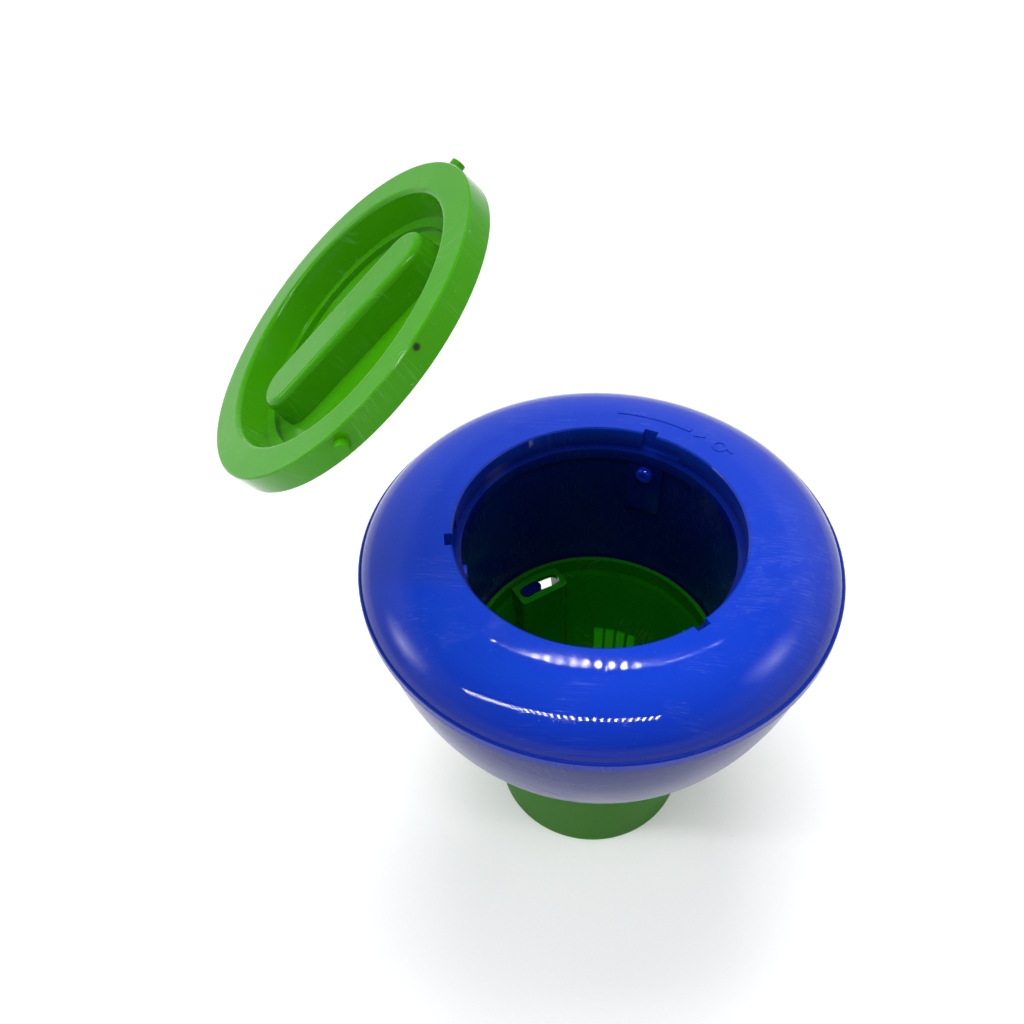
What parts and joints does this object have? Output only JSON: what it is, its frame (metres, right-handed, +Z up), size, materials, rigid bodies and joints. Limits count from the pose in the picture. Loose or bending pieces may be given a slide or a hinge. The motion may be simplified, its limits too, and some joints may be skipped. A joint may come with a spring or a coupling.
{
  "type": "floating_chlorine_dispenser",
  "caption": "Floating pool chlorine dispenser with a hollow ring float, hanging tablet cup turning in a vent sleeve, and its bayonet lid held off the mouth",
  "frame": {"origin": "Centre of the flat foot that the dispenser stands on, on the axis of float, cup and mouth", "axes": "+Z points up out of the mouth along the axis of symmetry; +X is to the right and +Y away from the side that the lid is held over"},
  "size_m": [0.2317, 0.2004, 0.3399],
  "materials": {
    "shell_blue": "glossy injection moulding, lightly scuffed",
    "stud_blue": "glossy moulding",
    "sleeve_green": "satin moulding, slightly translucent",
    "cup_green": "satin moulding, slightly translucent",
    "lid_green": "glossy moulding, finely scratched"
  },
  "bodies": {
    "float": {"top_shell": "shell_blue", "bottom_shell": "shell_blue", "inner_tube": "shell_blue", "snap_stud_1": "stud_blue", "snap_stud_2": "stud_blue", "snap_stud_3": "stud_blue", "limit_peg_1": "stud_blue", "limit_peg_2": "stud_blue", "limit_peg_3": "stud_blue", "vent_sleeve": "sleeve_green"},
    "cup": {"cup": "cup_green"},
    "lid": {"lid": "lid_green"}
  },
  "joints": [
    {"name": "dose_turn", "type": "hinge", "parent": "float", "child": "cup", "pos_m": [0, 0, 0.0945], "axis": [0, 0, 1], "range_deg": [0, 11]},
    {"name": "lid_carry", "type": "hinge", "parent": "float", "child": "lid", "pos_m": [-0.189, -0.0311, 0.1273], "axis": [0.182, -0.9816, -0.058], "range_deg": [-40.18, 0]}
  ]
}
